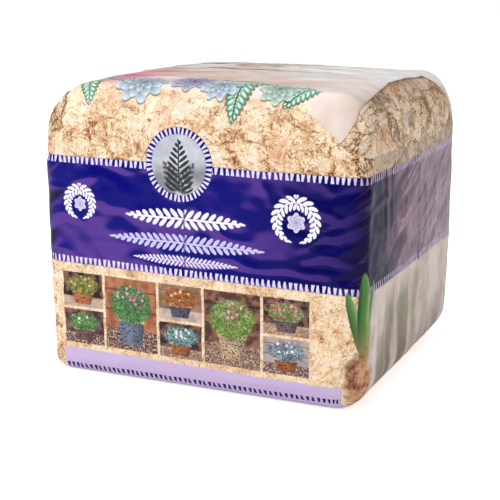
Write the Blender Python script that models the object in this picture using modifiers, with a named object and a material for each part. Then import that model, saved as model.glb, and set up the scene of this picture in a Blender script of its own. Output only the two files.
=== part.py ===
# Bagged bale of dried sphagnum moss: one pressed block of moss, wrapped tight in one plastic film bag.
# Metres, +Z up. The origin is the middle of the base, and the front of the bag faces -Y.
import math

import bmesh
import bpy
from mathutils import Vector, noise

# Outside sizes of the bag as it stands
WIDTH = 0.1755
DEPTH = 0.1555
HEIGHT = 0.1575

# How far each face swells past its rim
DOME = 0.0065
SIDE_BULGE = 0.0012

# Radii of the soft edges: upright edges, the top rim, and the base rim, which is lifted at the right
UPRIGHT_RADIUS_X = 0.010
UPRIGHT_RADIUS_Y = 0.006
TOP_RADIUS_X = 0.016
TOP_RADIUS_Y = 0.012
TOP_RADIUS_Z = 0.025
BASE_RADIUS_LEFT = 0.009
BASE_RADIUS_RIGHT = 0.018

# The gusset crease down the middle of each side
GUSSET_DEPTH = 0.0014
GUSSET_HALF_WIDTH = 0.007

# The block stands this far forward of the middle, so that the folded seals lie within the outside depth
BLOCK_FORWARD = 0.0008

# Film, and the clearance between it and the moss
FILM = 0.0008
CLEARANCE = 0.0005
MOSS_RELIEF = 0.0012
MOSS_LUMP = 0.011

# Segments of the block's grid along X, Y and Z
BAG_GRID = (16, 14, 14)
MOSS_GRID = (20, 18, 18)

# The ear flap folded onto the top at each side: where its corners lie, as shares of the top's half sizes
EAR_FRONT = -0.90
EAR_TIP_FRONT = (0.84, -0.17)
EAR_TIP_BACK = (0.88, 0.50)
EAR_BACK = 0.80
EAR_RISE = 0.0012
FLAP_ROOT = 0.0003

# Strips on the back: the upright lap seam and the two end seals folded down on it
LAP_HALF_WIDTH = 0.008
SEAL_HEIGHT = 0.012
SEAL_TOP = 0.124
SEAL_BASE = 0.026
SEAL_HALF_LENGTH = 0.070
STRIP_RISE = 0.0009

# The lap seam's open edge, a slit that lets the bag breathe
SLIT_WIDTH = 0.0008
SLIT_LENGTH = 0.060
SLIT_REACH = 0.006

RIM_X = WIDTH / 2 - SIDE_BULGE
RIM_Y = DEPTH / 2 - SIDE_BULGE
RIM_Z = HEIGHT - DOME


def clear_scene():
    """Remove every object, so that the script gives the same scene wherever it is run."""
    for item in list(bpy.data.objects):
        bpy.data.objects.remove(item, do_unlink=True)


def make_collection(name):
    """Add a collection to the scene."""
    collection = bpy.data.collections.new(name)
    bpy.context.scene.collection.children.link(collection)
    return collection


def make_material(name, colour, roughness):
    """A plain Principled material."""
    material = bpy.data.materials.new(name)
    material.use_nodes = True
    shader = material.node_tree.nodes["Principled BSDF"]
    shader.inputs["Base Color"].default_value = (*colour, 1.0)
    shader.inputs["Roughness"].default_value = roughness
    shader.inputs["Metallic"].default_value = 0.0
    return material


def mix(low, high, share):
    """Blend two numbers."""
    return low + (high - low) * share


def smooth(value):
    """Ease a number from 0 to 1."""
    value = min(max(value, 0.0), 1.0)
    return value * value * (3.0 - 2.0 * value)


def spread(value):
    """Crowd even steps from -1 to 1 towards both ends, where the edges are round."""
    return 0.45 * value + 0.55 * math.sin(0.5 * math.pi * value)


def soft_block(point):
    """Where a point of the cube from -1 to 1 lies on the swollen, round-edged block."""
    qx, qy, qz = point
    near_top = smooth((qz - 0.4) / 0.6)
    near_base = smooth((-0.4 - qz) / 0.6)
    base_radius = mix(BASE_RADIUS_LEFT, BASE_RADIUS_RIGHT, (qx + 1) / 2)
    radius = Vector((
        mix(mix(UPRIGHT_RADIUS_X, TOP_RADIUS_X, near_top), base_radius, near_base),
        mix(mix(UPRIGHT_RADIUS_Y, TOP_RADIUS_Y, near_top), 0.7 * base_radius, near_base),
        TOP_RADIUS_Z if qz > 0 else base_radius,
    ))
    sharp = Vector((qx * RIM_X, qy * RIM_Y, (qz + 1) * RIM_Z / 2))
    core = Vector((
        min(max(sharp.x, radius.x - RIM_X), RIM_X - radius.x),
        min(max(sharp.y, radius.y - RIM_Y), RIM_Y - radius.y),
        min(max(sharp.z, base_radius), RIM_Z - TOP_RADIUS_Z),
    ))
    out = Vector(((sharp[i] - core[i]) / radius[i] for i in range(3)))
    length = max(out.length, 1e-9)
    place = Vector((core[i] + radius[i] * out[i] / length for i in range(3)))
    fall_x = max(1 - (place.x / RIM_X) ** 2, 0.0)
    fall_y = max(1 - (place.y / RIM_Y) ** 2, 0.0)
    fall_z = max(1 - (2 * place.z / RIM_Z - 1) ** 2, 0.0)
    side = place.x / RIM_X
    front = place.y / RIM_Y
    top = place.z / RIM_Z
    gusset = max(1 - abs(place.y) / GUSSET_HALF_WIDTH, 0.0) * fall_z
    place.x += side * abs(side) ** 3 * (SIDE_BULGE * fall_y * fall_z - GUSSET_DEPTH * gusset)
    place.y += front * abs(front) ** 3 * SIDE_BULGE * fall_x * fall_z
    place.z += top ** 4 * DOME * fall_x * fall_y
    place.y -= BLOCK_FORWARD
    return place


def block_normal(point):
    """The outward direction of the block at a point of the cube, from two short steps along its face."""
    axis = max(range(3), key=lambda i: abs(point[i]))
    first = (axis + 1) % 3
    second = (axis + 2) % 3
    step = 0.02
    ends = []
    for direction in (first, second):
        low = Vector(point)
        high = Vector(point)
        low[direction] = max(low[direction] - step, -1)
        high[direction] = min(high[direction] + step, 1)
        ends.append(soft_block(high) - soft_block(low))
    normal = ends[0].cross(ends[1])
    normal *= 1 if point[axis] > 0 else -1
    return normal.normalized()


def cube_grid(segments):
    """A closed mesh over the cube from -1 to 1, cut into a grid that is finer at the edges."""
    bm = bmesh.new()
    bmesh.ops.create_cube(bm, size=2.0)
    for axis in range(3):
        for number in range(1, segments[axis]):
            cut = Vector((0, 0, 0))
            cut[axis] = spread(2 * number / segments[axis] - 1)
            normal = Vector((0, 0, 0))
            normal[axis] = 1
            everything = bm.verts[:] + bm.edges[:] + bm.faces[:]
            bmesh.ops.bisect_plane(bm, geom=everything, dist=1e-6, plane_co=cut, plane_no=normal)
    return bm


def finish_object(name, bm, collection, material):
    """Turn a bmesh into a named, smooth-shaded object with its material."""
    bmesh.ops.recalc_face_normals(bm, faces=bm.faces[:])
    mesh = bpy.data.meshes.new(name)
    bm.to_mesh(mesh)
    bm.free()
    mesh.shade_smooth()
    mesh.set_sharp_from_angle(angle=math.radians(40))
    mesh.materials.append(material)
    thing = bpy.data.objects.new(name, mesh)
    collection.objects.link(thing)
    return thing


def build_moss(collection):
    """The pressed block of moss, its lumps sunk into the shape that the film holds."""
    bm = cube_grid(MOSS_GRID)
    for vert in bm.verts:
        point = vert.co.copy()
        surface = soft_block(point)
        lump = 0.5 + 0.5 * noise.noise(surface / MOSS_LUMP)
        lump += 0.25 * noise.noise(2.7 * surface / MOSS_LUMP)
        sink = FILM + CLEARANCE + MOSS_RELIEF * min(max(lump, 0.0), 1.0)
        inward = Vector((point.x * WIDTH, point.y * DEPTH, point.z * HEIGHT)).normalized()
        vert.co = surface - sink * (block_normal(point) + 0.4 * inward)
    return finish_object("moss_bale", bm, collection, make_material("dried_moss", (0.62, 0.45, 0.25), 0.95))


def strip_solid(corner_point, segments, rise, taper):
    """A flap or strip of film lying on the bag. corner_point gives its place on the cube for shares of its
    length and width, and its outer face rises from the root over the first part that taper names."""
    bm = bmesh.new()
    bmesh.ops.create_grid(bm, x_segments=segments[0], y_segments=segments[1], size=1.0)
    made = bmesh.ops.extrude_face_region(bm, geom=bm.faces[:], use_keep_orig=True)
    raised = {item for item in made["geom"] if isinstance(item, bmesh.types.BMVert)}
    for vert in bm.verts:
        along = (vert.co.x + 1) / 2
        across = (vert.co.y + 1) / 2
        point = corner_point(along, across)
        height = -FLAP_ROOT
        if vert in raised:
            height = rise * smooth(across / taper) if taper else rise
            height = max(height, -0.5 * FLAP_ROOT)
        vert.co = soft_block(point) + height * block_normal(point)
    return bm


def ear_point(side):
    """The ear's outline on the top: its root lies along the side's rim and its cut tip points inwards."""
    def place(along, across):
        root = Vector((1.0, mix(EAR_FRONT, EAR_BACK, along)))
        tip = Vector((
            mix(EAR_TIP_FRONT[0], EAR_TIP_BACK[0], along),
            mix(EAR_TIP_FRONT[1], EAR_TIP_BACK[1], along),
        ))
        spot = root.lerp(tip, across)
        return Vector((side * spot.x, spot.y, 1))
    return place


def back_point(low_x, high_x, low_z, high_z):
    """A rectangle on the back, from metres to shares of the cube."""
    def place(along, across):
        x = mix(low_x, high_x, along) / RIM_X
        z = 2 * mix(low_z, high_z, across) / RIM_Z - 1
        return Vector((x, 1, z))
    return place


def build_bag(collection, cutters):
    """The film bag: a thin shell with its ear flaps, lap seam and end seals joined on."""
    material = make_material("printed_film", (0.10, 0.05, 0.33), 0.25)
    bm = cube_grid(BAG_GRID)
    for vert in bm.verts:
        vert.co = soft_block(vert.co.copy())
    bag = finish_object("film_bag", bm, collection, material)
    wall = bag.modifiers.new("film", "SOLIDIFY")
    wall.thickness = FILM
    wall.offset = -1.0
    wall.use_even_offset = True

    seal_x = SEAL_HALF_LENGTH
    strips = {
        "ear_right": strip_solid(ear_point(1), (8, 5), EAR_RISE, 0.5),
        "ear_left": strip_solid(ear_point(-1), (8, 5), EAR_RISE, 0.5),
        "lap_seam": strip_solid(
            back_point(-LAP_HALF_WIDTH, LAP_HALF_WIDTH, SEAL_BASE - SEAL_HEIGHT / 2, SEAL_TOP - SEAL_HEIGHT / 2),
            (2, 8), STRIP_RISE, None),
        "end_seal_top": strip_solid(
            back_point(-seal_x, seal_x, SEAL_TOP - SEAL_HEIGHT, SEAL_TOP), (14, 2), 2 * STRIP_RISE, None),
        "end_seal_base": strip_solid(
            back_point(-seal_x, seal_x, SEAL_BASE - SEAL_HEIGHT, SEAL_BASE), (14, 2), 2 * STRIP_RISE, None),
    }
    for name, strip in strips.items():
        piece = finish_object(name, strip, cutters, material)
        piece.hide_render = True
        piece.display_type = "WIRE"
        join = bag.modifiers.new(name, "BOOLEAN")
        join.operation = "UNION"
        join.solver = "EXACT"
        join.object = piece

    bm = bmesh.new()
    bmesh.ops.create_cube(bm, size=1.0)
    bmesh.ops.scale(bm, vec=(SLIT_WIDTH, 2 * SLIT_REACH, SLIT_LENGTH), verts=bm.verts[:])
    slit_x = LAP_HALF_WIDTH + SLIT_WIDTH
    bmesh.ops.translate(bm, vec=(slit_x, DEPTH / 2, HEIGHT / 2), verts=bm.verts[:])
    slit = finish_object("lap_slit", bm, cutters, material)
    slit.hide_render = True
    slit.display_type = "WIRE"
    cut = bag.modifiers.new("lap_slit", "BOOLEAN")
    cut.operation = "DIFFERENCE"
    cut.solver = "EXACT"
    cut.object = slit
    return bag


clear_scene()
parts = make_collection("bagged_moss_bale")
guides = make_collection("guides")
build_moss(parts)
build_bag(parts, guides)
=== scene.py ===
# A pressed bale of dried sphagnum moss in its printed plastic film bag, as it stands in a plain white studio.
# Everything is in metres, +Z up, and the front of the bag faces -Y.
import inspect
import math

import bpy
import numpy as np
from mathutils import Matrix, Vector


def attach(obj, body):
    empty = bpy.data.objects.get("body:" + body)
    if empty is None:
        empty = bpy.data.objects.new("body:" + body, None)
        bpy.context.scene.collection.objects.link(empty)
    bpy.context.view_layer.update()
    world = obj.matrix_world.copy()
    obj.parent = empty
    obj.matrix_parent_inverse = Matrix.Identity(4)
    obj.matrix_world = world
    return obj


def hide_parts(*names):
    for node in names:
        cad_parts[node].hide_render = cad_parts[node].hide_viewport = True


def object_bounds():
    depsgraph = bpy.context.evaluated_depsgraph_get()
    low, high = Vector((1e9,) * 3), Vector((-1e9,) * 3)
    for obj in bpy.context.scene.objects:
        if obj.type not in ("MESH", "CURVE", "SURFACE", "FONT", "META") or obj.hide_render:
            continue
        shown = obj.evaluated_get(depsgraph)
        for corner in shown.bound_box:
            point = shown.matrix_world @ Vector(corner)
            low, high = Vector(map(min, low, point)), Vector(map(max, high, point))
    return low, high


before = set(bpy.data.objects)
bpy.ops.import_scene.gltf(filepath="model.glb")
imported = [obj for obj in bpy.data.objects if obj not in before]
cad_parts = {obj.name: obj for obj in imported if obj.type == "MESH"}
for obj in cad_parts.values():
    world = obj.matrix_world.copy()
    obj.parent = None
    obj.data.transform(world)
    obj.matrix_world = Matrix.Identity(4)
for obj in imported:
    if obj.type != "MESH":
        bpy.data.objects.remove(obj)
cad_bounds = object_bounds()


# The studio. A pale floor runs back without an edge to a white backdrop, with one large soft light at the
# front left, a weak one at the right and one above, and a dark room behind the camera. The camera stands to
# the right of the bag's front and a little above it, as the photograph's.
CAMERA_AZIMUTH = math.radians(24.74)
CAMERA_HEIGHT_ANGLE = math.radians(13.97)
CAMERA_DISTANCE = 0.6106
CAMERA_TARGET = (-0.0056, 0.0561)
CAMERA_LENS = 80.1
CAMERA_SENSOR = 36.0
FLOOR_HALF = 60.0
FLOOR_PALE = (0.94, 0.94, 0.94, 1.0)
WHITE = (1.0, 1.0, 1.0, 1.0)
BACKDROP_SEEN = 1.05
BACKDROP_GLOW = 0.18
ROOM_GLOW = 0.05
AMBIENT = 0.46
FLOOR_LIFT = 0.60
LIGHT_TARGET = (0.0, 0.0, 0.08)

# Name, place, side and power of each soft light
SOFTBOXES = [
    ("key_front_left", (-0.85, -0.95, 0.90), 0.8, 13.0),
    ("fill_right", (1.1, -0.35, 0.6), 0.6, 2.2),
    ("top", (0.0, 0.15, 1.2), 0.9, 4.0),
]


class Signal:
    """What one output of a shader node gives. Each sign of arithmetic on it adds one Math node to its own
    tree."""

    def __init__(self, socket):
        self.socket = socket
        self.tree = socket.id_data

    def __add__(self, other):
        return calc("ADD", self, other)

    def __sub__(self, other):
        return calc("SUBTRACT", self, other)

    def __rsub__(self, other):
        return calc("SUBTRACT", other, self)

    def __mul__(self, other):
        return calc("MULTIPLY", self, other)

    def __truediv__(self, other):
        return calc("DIVIDE", self, other)

    def __rtruediv__(self, other):
        return calc("DIVIDE", other, self)

    def __abs__(self):
        return calc("ABSOLUTE", self)


def put(sockets, values):
    """Give some of a node's inputs, by name or by number, their values: a signal is linked, and a constant is
    set."""
    for key, value in values.items():
        if isinstance(value, Signal):
            value.tree.links.new(value.socket, sockets[key])
        else:
            sockets[key].default_value = value


def node(kind, inputs, out=0, tree=None, **settings):
    """Add a node with its settings and inputs to the tree of its first signal, or to a given one. It gives
    one of the node's outputs, or a row of them where a row is asked for."""
    if tree is None:
        tree = next(value.tree for value in inputs.values() if isinstance(value, Signal))
    made = tree.nodes.new(kind)
    for key, value in settings.items():
        setattr(made, key, value)
    put(made.inputs, inputs)
    if isinstance(out, tuple):
        return tuple(Signal(made.outputs[key]) for key in out)
    return Signal(made.outputs[out]) if made.outputs else None


def calc(operation, *values, clamp=False):
    """One Math node."""
    return node("ShaderNodeMath", dict(enumerate(values)), operation=operation, use_clamp=clamp)


def aim(thing, place, target):
    """Put a camera or a light at a place, with its -Z turned towards the target and its X level."""
    thing.location = place
    thing.rotation_euler = (Vector(target) - Vector(place)).to_track_quat("-Z", "Y").to_euler()
    bpy.context.scene.collection.objects.link(thing)


def add_camera():
    """A long lens on the photograph's side of the bag and at its height."""
    data = bpy.data.cameras.new("camera")
    data.lens = CAMERA_LENS
    data.sensor_width = CAMERA_SENSOR
    data.clip_end = 3 * FLOOR_HALF
    camera = bpy.data.objects.new("camera", data)
    side, height = CAMERA_TARGET
    target = Vector((side * math.cos(CAMERA_AZIMUTH), side * math.sin(CAMERA_AZIMUTH), height))
    back = Vector((
        math.sin(CAMERA_AZIMUTH) * math.cos(CAMERA_HEIGHT_ANGLE),
        -math.cos(CAMERA_AZIMUTH) * math.cos(CAMERA_HEIGHT_ANGLE),
        math.sin(CAMERA_HEIGHT_ANGLE),
    ))
    aim(camera, target + CAMERA_DISTANCE * back, target)
    bpy.context.scene.camera = camera


def add_softbox(name, place, size, power):
    """A square soft light that looks at the middle of the bag."""
    data = bpy.data.lights.new(name, "AREA")
    data.shape = "SQUARE"
    data.size = size
    data.energy = power
    aim(bpy.data.objects.new(name, data), place, LIGHT_TARGET)


def add_world():
    """White where the camera looks. The gloss of the film sees a bright backdrop behind the bag and a dark
    room in front of it, and all else gets an even, softer light."""
    world = bpy.data.worlds.new("studio")
    bpy.context.scene.world = world
    world.use_nodes = True
    tree = world.node_tree
    tree.nodes.clear()
    camera_ray, glossy_ray = node("ShaderNodeLightPath", {}, ("Is Camera Ray", "Is Glossy Ray"), tree)
    forward = node("ShaderNodeSeparateXYZ", {0: node("ShaderNodeTexCoord", {}, "Generated", tree)}, "Y")
    glow = node("ShaderNodeMapRange", {0: forward, 1: -0.15, 2: 0.35, 3: ROOM_GLOW, 4: BACKDROP_GLOW})
    seen, even, glossy = [
        node("ShaderNodeBackground", {"Color": WHITE, "Strength": strength}, tree=tree)
        for strength in (BACKDROP_SEEN, AMBIENT, glow)]
    lit = node("ShaderNodeMixShader", {0: glossy_ray, 1: even, 2: glossy})
    pick = node("ShaderNodeMixShader", {0: camera_ray, 1: lit, 2: seen})
    node("ShaderNodeOutputWorld", {"Surface": pick})


def add_floor():
    """A pale floor wide enough to fill every view, which the camera sees lifted to white."""
    half = FLOOR_HALF
    mesh = bpy.data.meshes.new("floor")
    corners = [(-half, -half, 0), (half, -half, 0), (half, half, 0), (-half, half, 0)]
    mesh.from_pydata(corners, [], [(0, 1, 2, 3)])
    material = bpy.data.materials.new("floor_white")
    material.use_nodes = True
    tree = material.node_tree
    camera_ray = node("ShaderNodeLightPath", {}, "Is Camera Ray", tree)
    put(tree.nodes["Principled BSDF"].inputs, {
        "Base Color": FLOOR_PALE, "Roughness": 0.9, "Specular IOR Level": 0.2, "Emission Color": WHITE,
        "Emission Strength": camera_ray * FLOOR_LIFT})
    mesh.materials.append(material)
    floor = bpy.data.objects.new("floor", mesh)
    bpy.context.scene.collection.objects.link(floor)


add_camera()
add_world()
add_floor()
for light in SOFTBOXES:
    add_softbox(*light)
bpy.context.scene.view_settings.view_transform = "Standard"


# The pressed block. Dried moss is pressed hard into a brick, which swells a little in the middle of each face
# and gives soft edges: tight upright corners, a deep round rim at the top, and a base rim that lifts at the
# right. The film is stretched over the same form, so the block's formula serves every piece.
WIDTH = 0.1755
DEPTH = 0.1555
HEIGHT = 0.1550
DOME = 0.0040
SIDE_BULGE = 0.0012
UPRIGHT_RADIUS = (0.010, 0.006)
TOP_RADIUS_X = (0.030, 0.016)
TOP_RADIUS_Y = (0.012, 0.014)
TOP_RADIUS_Z = 0.025
BASE_RADIUS_LEFT = 0.009
BASE_RADIUS_RIGHT = 0.018
BASE_RADIUS_SHARE = 0.7
RIM_START = 0.4
BLOCK_FORWARD = 0.0008
RIM = np.array([WIDTH / 2 - SIDE_BULGE, DEPTH / 2 - SIDE_BULGE, HEIGHT - DOME])
MM = 0.001


def ease(value):
    """Smooth step from 0 to 1, on whole arrays."""
    value = np.clip(value, 0.0, 1.0)
    return value * value * (3.0 - 2.0 * value)


def lerp(low, high, share):
    """Straight blend between two values."""
    return low + (high - low) * share


def soft_block(cube):
    """Places on the swollen block for points of the cube from -1 to 1, as rows of an array. Each point is
    split into the nearest point of an inner core and the step from it, in units of the edge radii. That step
    is brought to unit length and laid back on the core, which rounds every edge. The faces then swell by a
    product of parabolas that vanish at the rim."""
    x, y, z = cube.T
    near_top = ease((z - RIM_START) / (1 - RIM_START))
    near_base = ease((-z - RIM_START) / (1 - RIM_START))
    base_radius = lerp(BASE_RADIUS_LEFT, BASE_RADIUS_RIGHT, (x + 1) / 2)
    radius_x = lerp(UPRIGHT_RADIUS[0], lerp(*TOP_RADIUS_X, (x + 1) / 2), near_top)
    radius_y = lerp(UPRIGHT_RADIUS[1], lerp(*TOP_RADIUS_Y, (y + 1) / 2), near_top)
    radius = np.stack([
        lerp(radius_x, base_radius, near_base),
        lerp(radius_y, BASE_RADIUS_SHARE * base_radius, near_base),
        np.where(z > 0, TOP_RADIUS_Z, base_radius),
    ], 1)
    sharp = np.stack([x * RIM[0], y * RIM[1], (z + 1) * RIM[2] / 2], 1)
    core = np.stack([
        np.clip(sharp[:, 0], radius[:, 0] - RIM[0], RIM[0] - radius[:, 0]),
        np.clip(sharp[:, 1], radius[:, 1] - RIM[1], RIM[1] - radius[:, 1]),
        np.clip(sharp[:, 2], base_radius, RIM[2] - TOP_RADIUS_Z),
    ], 1)
    out = (sharp - core) / radius
    length = np.maximum(np.linalg.norm(out, axis=1, keepdims=True), 1e-9)
    place = core + radius * out / length
    side, front, top = (place / RIM).T
    fall_x = np.clip(1 - side ** 2, 0, 1)
    fall_y = np.clip(1 - front ** 2, 0, 1)
    fall_z = np.clip(1 - (2 * top - 1) ** 2, 0, 1)
    place[:, 0] += side * np.abs(side) ** 3 * SIDE_BULGE * fall_y * fall_z
    place[:, 1] += front * np.abs(front) ** 3 * SIDE_BULGE * fall_x * fall_z
    place[:, 2] += top ** 4 * DOME * fall_x * fall_y
    place[:, 1] -= BLOCK_FORWARD
    return place


def block_normals(cube):
    """Outward directions at points of the cube's faces: the cross product of two short steps along each."""
    axis = np.argmax(np.abs(cube), axis=1)
    rows = np.arange(len(cube))
    step = 0.02
    ends = []
    for turn in (1, 2):
        direction = (axis + turn) % 3
        low = cube.copy()
        high = cube.copy()
        low[rows, direction] = np.maximum(low[rows, direction] - step, -1)
        high[rows, direction] = np.minimum(high[rows, direction] + step, 1)
        ends.append(soft_block(high) - soft_block(low))
    normal = np.cross(ends[0], ends[1]) * np.sign(cube[rows, axis])[:, None]
    return normal / np.linalg.norm(normal, axis=1, keepdims=True)


def line_length(start, end, count=300):
    """How far along the film the points of a straight line of the cube lie: from -1 to 1, and in metres."""
    share = np.linspace(0, 1, count)
    points = lerp(np.array(start, float), np.array(end, float), share[:, None])
    steps = np.linalg.norm(np.diff(soft_block(points), axis=0), axis=1)
    return 2 * share - 1, np.concatenate([[0], np.cumsum(steps)])


front_line, front_run = line_length((-1, -1, 0), (1, -1, 0))
side_line, side_run = line_length((1, -1, 0), (1, 1, 0))
wall_line, wall_run = line_length((0, -1, -1), (0, -1, 1))
top_line, top_run = line_length((0, -1, 1), (0, 1, 1))
FRONT_HALF = front_run[-1] / 2
SIDE_LENGTH = side_run[-1]
WALL_MIDDLE = np.interp(0.0, wall_line, wall_run)
WALL_TOP = wall_run[-1] - WALL_MIDDLE + RIM[2] / 2
WALL_BASE = RIM[2] / 2 - WALL_MIDDLE
FAR = 9.0


def across_film(x):
    """Metres along the flat film of the front, from its middle, for places from -1 to 1 on the cube."""
    return np.interp(x, front_line, front_run) - FRONT_HALF


def up_film(z):
    """Metres up the flat film of the walls, from the base, for places from -1 to 1 on the cube."""
    return np.interp(z, wall_line, wall_run) - WALL_MIDDLE + RIM[2] / 2


def wall_place(cube):
    """Where points lie on the flat film of the four walls. Around is 0 at the middle of the front and grows
    to the right. Up is the height on the wall, and runs on over the rim. Points of the back lie far away."""
    x, y, z = cube.T
    reach = np.maximum(np.maximum(np.abs(x), np.abs(y)), 1e-6)
    x, y = x / reach, y / reach
    depth = np.interp(y, side_line, side_run)
    around = np.full(len(cube), FAR)
    around = np.where(x <= -1 + 1e-9, -FRONT_HALF - depth, around)
    around = np.where(x >= 1 - 1e-9, FRONT_HALF + depth, around)
    around = np.where(y <= -1 + 1e-9, across_film(x), around)
    return around, up_film(z) + np.sign(z) * (np.abs(z) > 1 - 1e-6) * (1 - reach) * RIM[1]


# The relief that the moss and the wrapping give the film. Round lumps press through it, long ripples with
# sharp crests run down to the right across the front, and folds gather at the corners, down the sides and on
# the top.
def rolling(place, wave, count, seed):
    """Soft lumps between about -1 and 1: a sum of plane waves in random directions, near one wavelength."""
    draw = np.random.default_rng(seed)
    total = np.zeros(len(place))
    for _ in range(count):
        direction = draw.normal(size=3)
        direction /= np.linalg.norm(direction)
        pitch = wave * draw.uniform(0.7, 1.6)
        total += np.sin(2 * np.pi * (place @ direction) / pitch + draw.uniform(0, 2 * np.pi))
    return total / math.sqrt(count / 2) / 1.6


def fold(around, up, start, end, width, height, layer=0.0):
    """A fold of the film along a line: a ridge of Gaussian section, with a hollow beside it, that fades at
    both ends. With a layer the film stays raised on one side of the line, as where it lies on itself."""
    start = MM * np.array(start)
    run = MM * np.array(end) - start
    length = np.linalg.norm(run)
    run = run / length
    along = (around - start[0]) * run[0] + (up - start[1]) * run[1]
    off = ((around - start[0]) * run[1] - (up - start[1]) * run[0]) / (MM * width)
    fade = ease(along / (0.3 * length)) * ease((length - along) / (0.3 * length))
    ridge = height * (np.exp(-off ** 2) - 0.35 * np.exp(-(off / 2.2 - 0.8) ** 2))
    raised = layer * ease(0.5 + off) * np.exp(-np.maximum(off * width, 0) / 18.0)
    return MM * fade * (ridge + raised)


CORNER = FRONT_HALF / MM
SIDE_MIDDLE = CORNER + SIDE_LENGTH / MM / 2
FRONT_TURN = np.ones(3)
BACK_TURN = np.array([-1.0, -1.0, 1.0])

# Folds on the flat film, in millimetres: start, end, width and height. Those of the front's corners come back
# on the back, with five of the side's, and those of the right side are mirrored on the left one.
CORNER_FOLDS = [
    ((44, 106), (CORNER, 92), 1.9, 0.75),
    ((40, 95), (CORNER - 3, 79), 2.2, -0.55),
    ((52, 80), (CORNER + 6, 95), 1.6, 0.75),
    ((60, 86), (CORNER + 10, 106), 1.5, 0.65),
    ((50, 72), (CORNER + 4, 84), 1.7, 0.65),
    ((58, 65), (CORNER + 2, 67), 2.0, -0.55),
    ((62, 102), (CORNER + 12, 112), 1.9, -0.60),
    ((66, 77), (CORNER + 8, 73), 1.8, 0.50),
    ((68, 61), (CORNER + 8, 51), 2.0, 0.40),
    ((-84, 106), (-70, 118), 1.2, 0.35),
    ((-86, 98), (-72, 98), 1.1, 0.30),
    ((-90, 112), (-80, 118), 2.0, -0.90),
    ((-60, 8), (-20, 12), 2.4, 0.40),
    ((10, 9), (60, 12), 2.6, 0.45),
    ((52, 9), (CORNER - 2, 24), 2.2, 0.50),
    ((60, 30), (CORNER - 2, 20), 2.4, 0.35),
]
SIDE_FOLDS = [
    ((CORNER + 27, 124), (CORNER + 28, 78), 1.2, 0.55),
    ((CORNER + 36, 122), (CORNER + 38, 76), 1.2, 0.60),
    ((CORNER + 22, 100), (CORNER + 46, 105), 1.5, 0.50),
    ((CORNER + 40, 102), (CORNER + 104, 124), 1.5, 0.65),
    ((CORNER + 4, 97), (CORNER + 32, 104), 1.7, 0.60),
    ((CORNER + 8, 84), (CORNER + 30, 88), 1.6, 0.45),
    ((CORNER + 52, 92), (CORNER + 76, 99), 1.4, 0.40),
    ((CORNER + 50, 72), (CORNER + 74, 78), 1.4, 0.40),
    ((CORNER + 92, 114), (CORNER + 94, 56), 2.3, 0.45),
    ((CORNER + 110, 120), (CORNER + 114, 46), 2.6, 0.45),
    ((CORNER + 98, 96), (CORNER + 134, 110), 2.0, 0.50),
    ((CORNER + 14, 52), (CORNER + 18, 14), 2.4, 0.35),
    ((CORNER + 40, 58), (CORNER + 44, 18), 2.6, 0.45),
    ((CORNER + 58, 54), (CORNER + 60, 16), 2.2, 0.40),
    ((CORNER + 98, 58), (CORNER + 102, 16), 2.4, 0.45),
]
TOP_FOLDS = [
    ((-70, 180), (-6, 172), 2.0, 0.45),
    ((-58, 198), (24, 214), 2.4, 0.45),
    ((-10, 236), (68, 226), 1.8, 0.55),
    ((-70, 246), (-2, 240), 1.8, 0.50),
    ((16, 254), (74, 246), 1.6, 0.50),
    ((-34, 162), (40, 168), 2.6, 0.35),
    ((30, 182), (72, 206), 2.2, 0.40),
    ((-76, 222), (-40, 190), 2.0, 0.40),
]
GUSSET_FOLD = ((SIDE_MIDDLE + 8, 14), (SIDE_MIDDLE + 1, 136), 1.3, 0.60, 0.8)
RIPPLE_PITCH = 0.0140
RIPPLE_SLOPE = 0.24
RIPPLE_HEIGHT = 0.70
RIPPLE_SPAN = (0.014, 0.150)
PLEAT_PITCH = 0.0105
PLEAT_HEIGHT = 0.07
PLEAT_SPAN = (0.010, 0.150)
SPAN_FADE = 0.030
EDGE_FADE = 0.10
FOOT_FLAT = 0.0015
FOOT_FADE = 0.010
BACK_FOLDS = SIDE_FOLDS[4:9]

# Soft waves, each a height, a wavelength in metres, a count and a seed: the moss's lumps in millimetres, and
# what bends the ripples as a share of their phase
LUMPS = [(0.30, 0.026, 26, 4), (0.10, 0.009, 30, 5)]
RIPPLE_BENDS = [(0.6, 0.055, 14, 6), (0.22, 0.020, 14, 8)]


def waves(place, rows):
    """The sum of some rows of soft waves."""
    return sum(height * rolling(place, *row) for height, *row in rows)


def within(up, span):
    """1 between the two heights of a span on the film and 0 beyond them, with soft ends."""
    return ease((up - span[0]) / SPAN_FADE) * ease((span[1] - up) / SPAN_FADE)


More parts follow.
